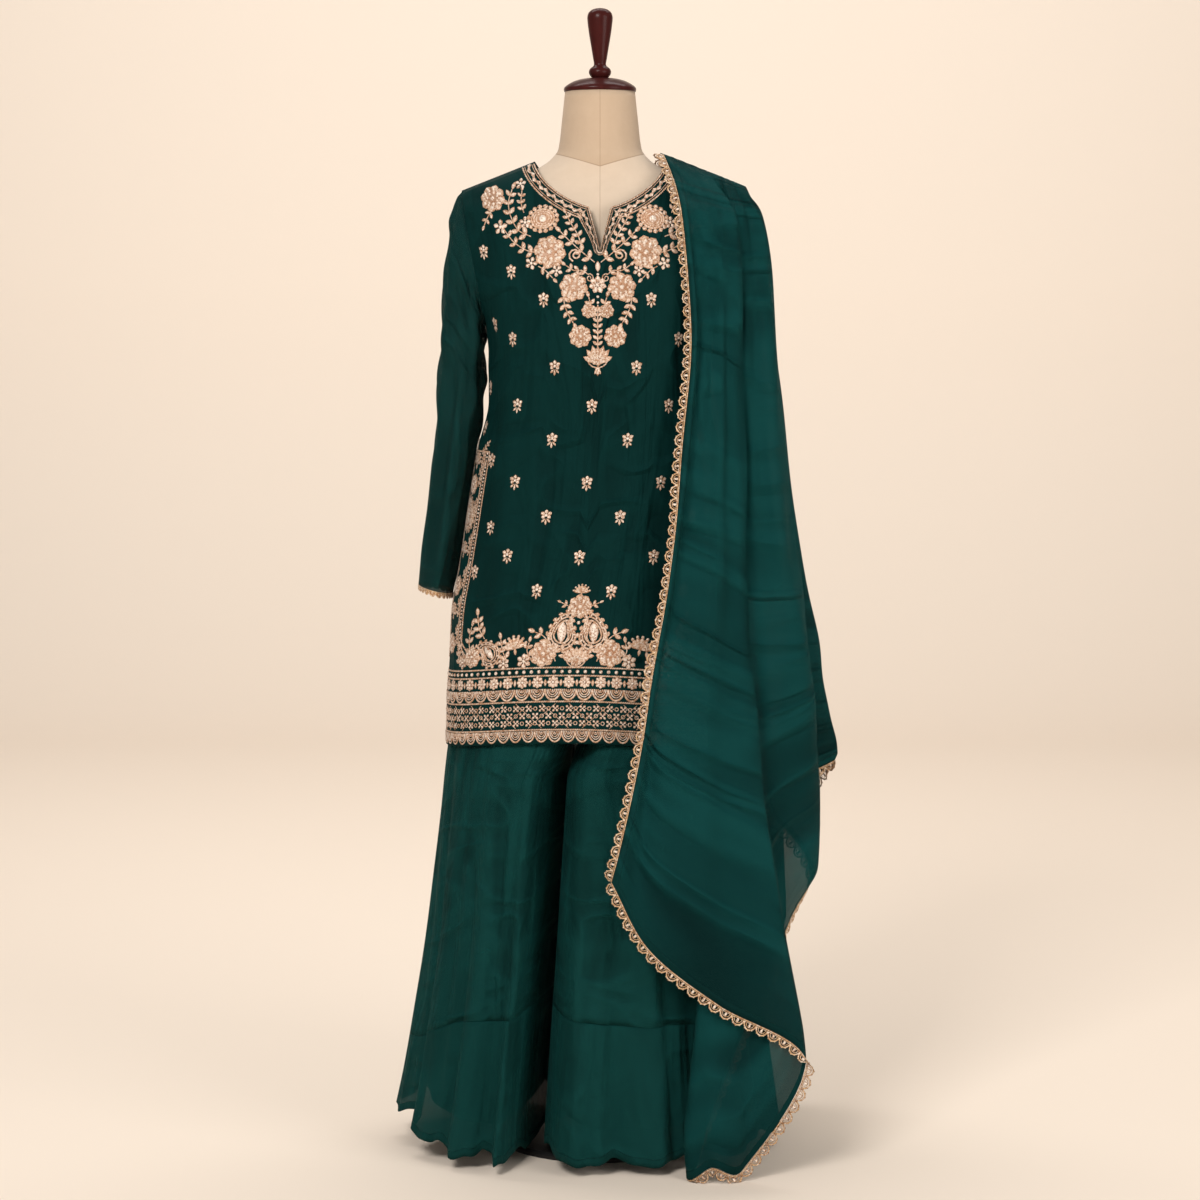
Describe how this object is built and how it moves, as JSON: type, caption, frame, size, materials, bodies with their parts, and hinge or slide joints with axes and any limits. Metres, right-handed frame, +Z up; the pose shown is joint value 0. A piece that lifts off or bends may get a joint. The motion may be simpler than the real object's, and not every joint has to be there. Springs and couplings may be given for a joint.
{
  "type": "salwar kameez suit on a dress form",
  "caption": "Long-sleeved embroidered kurta, wide flounced trousers and a lace-edged dupatta over the left shoulder, worn by a limbless dress form on a stand.",
  "frame": {"origin": "centre of the underside of the stand's base, on the floor", "axes": "+Z up along the stand; the wearer faces -Y; the wearer's left, with the dupatta, is +X"},
  "size_m": [0.6256, 0.4767, 1.5825],
  "materials": {
    "georgette": "semi-sheer crinkled georgette, deep bottle green",
    "lining": "plain opaque lining, deep green",
    "gold_embroidery": "metallic thread embroidery and lace, antique gold",
    "linen": "unbleached linen cover",
    "mahogany": "turned, dark red-brown, glossy lacquer",
    "blackened_steel": "satin black"
  },
  "bodies": {
    "root": {"cuff_lace_left": "gold_embroidery", "cuff_lace_right": "gold_embroidery", "dupatta_back": "georgette", "dupatta_front": "georgette", "dupatta_lace_back_edge": "gold_embroidery", "dupatta_lace_back_end": "gold_embroidery", "dupatta_lace_front_edge": "gold_embroidery", "dupatta_lace_front_end": "gold_embroidery", "dupatta_lace_front_side": "gold_embroidery", "form_torso": "linen", "kurta_back": "georgette", "kurta_front": "georgette", "kurta_sleeve_left": "georgette", "kurta_sleeve_right": "georgette", "neck_border_back": "gold_embroidery", "neck_border_front": "gold_embroidery", "neck_cap": "mahogany", "neck_finial": "mahogany", "stand_base": "blackened_steel", "stand_pole": "blackened_steel", "trouser_flounce_left": "georgette", "trouser_flounce_right": "georgette", "trouser_leg_left": "georgette", "trouser_leg_right": "georgette", "trouser_lining_left": "lining", "trouser_lining_right": "lining", "trouser_waistband": "georgette"}
  },
  "joints": []
}
